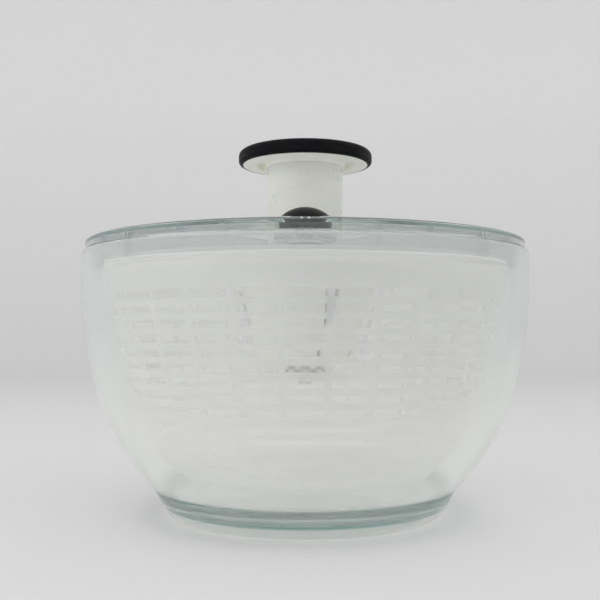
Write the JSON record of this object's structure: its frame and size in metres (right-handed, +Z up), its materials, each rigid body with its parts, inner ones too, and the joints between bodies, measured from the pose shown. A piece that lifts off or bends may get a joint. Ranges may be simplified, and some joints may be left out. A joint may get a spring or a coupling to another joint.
{
  "type": "salad spinner",
  "caption": "Pump salad spinner: glass bowl, slotted clear basket, clear lid with a black-topped pump knob, one-way drive, brake button and knob lock.",
  "frame": {"origin": "centre of the bowl's foot, on the surface that it stands on", "axes": "+Z up along the axis that the basket turns about, -Y towards the brake button"},
  "size_m": [0.268, 0.268, 0.2216],
  "materials": {
    "glass": "clear pressed glass, slightly green where it is thick",
    "basket_plastic": "clear moulded plastic, slightly hazy",
    "lid_plastic": "clear moulded plastic, polished",
    "plate_plastic": "clear moulded plastic",
    "cream_plastic": "off-white moulded plastic, satin",
    "column_plastic": "off-white moulded plastic, smooth",
    "spindle_plastic": "off-white moulded plastic",
    "acetal": "natural white slippery plastic",
    "black_rubber": "soft black non-slip layer, matt",
    "black_plastic": "black moulded plastic, satin",
    "steel": "stainless steel",
    "spring_steel": "drawn stainless wire"
  },
  "bodies": {
    "bowl": {"bowl": "glass"},
    "lid": {"lid_cover": "lid_plastic", "lid_recess": "lid_plastic", "guide_collar": "cream_plastic", "plunger_housing": "cream_plastic", "housing_screws": "steel", "plate_bearing": "acetal", "spindle_bush": "acetal"},
    "knob": {"knob_grip": "black_rubber", "knob_cap": "cream_plastic", "plunger_tube": "column_plastic", "knob_screws": "steel", "drive_nut": "acetal", "return_spring": "spring_steel"},
    "spindle": {"helical_spindle": "spindle_plastic", "clutch_hub": "acetal", "thrust_washer": "steel", "spindle_screw": "steel"},
    "clutch_dog": {"clutch_dog": "acetal", "clutch_spring": "spring_steel"},
    "drive_plate": {"drive_plate": "plate_plastic", "drive_cup": "plate_plastic", "clutch_ring": "acetal"},
    "basket_pivot": {"pivot_bush": "acetal"},
    "basket": {"basket": "basket_plastic"},
    "brake": {"brake_button": "black_plastic", "brake_stem": "acetal", "brake_pad": "black_rubber", "brake_spring": "spring_steel"},
    "lock": {"lock_slider": "cream_plastic", "lock_clip": "acetal"}
  },
  "joints": [
    {"name": "lid_lift", "type": "slide", "parent": "bowl", "child": "lid", "axis": [0, 0, 1], "range_m": [0, 0.32]},
    {"name": "knob_push", "type": "slide", "parent": "lid", "child": "knob", "axis": [0, 0, -1], "range_m": [0, 0.051], "stiffness_N_per_m": 110, "springref_m": -0.03, "deforming": ["return_spring"]},
    {"name": "spindle_spin", "type": "hinge", "parent": "lid", "child": "spindle", "pos_m": [0, 0, 0.1], "axis": [0, 0, 1], "continuous": true},
    {"name": "clutch_engage", "type": "slide", "parent": "spindle", "child": "clutch_dog", "axis": [0, 0, -1], "range_m": [0, 0.0016], "stiffness_N_per_m": 400, "springref_m": -0.002, "deforming": ["clutch_spring"]},
    {"name": "drive_plate_spin", "type": "hinge", "parent": "lid", "child": "drive_plate", "pos_m": [0, 0, 0.1], "axis": [0, 0, 1], "continuous": true},
    {"name": "basket_lift", "type": "slide", "parent": "bowl", "child": "basket_pivot", "axis": [0, 0, 1], "range_m": [0, 0.16]},
    {"name": "basket_spin", "type": "hinge", "parent": "basket_pivot", "child": "basket", "pos_m": [0, 0, 0.1], "axis": [0, 0, 1], "continuous": true},
    {"name": "brake_push", "type": "slide", "parent": "lid", "child": "brake", "axis": [0, 0, -1], "range_m": [0, 0.004], "stiffness_N_per_m": 400, "springref_m": -0.003, "deforming": ["brake_spring"]},
    {"name": "lock_slide", "type": "slide", "parent": "lid", "child": "lock", "axis": [0, -1, 0], "range_m": [0, 0.007]}
  ],
  "couplings": [
    {"joint": "spindle_spin", "follows": "knob_push", "rad_per_m": 92.4},
    {"joint": "drive_plate_spin", "follows": "basket_spin", "ratio": 1},
    {"joint": "basket_lift", "follows": "lid_lift", "ratio": 0.5}
  ]
}
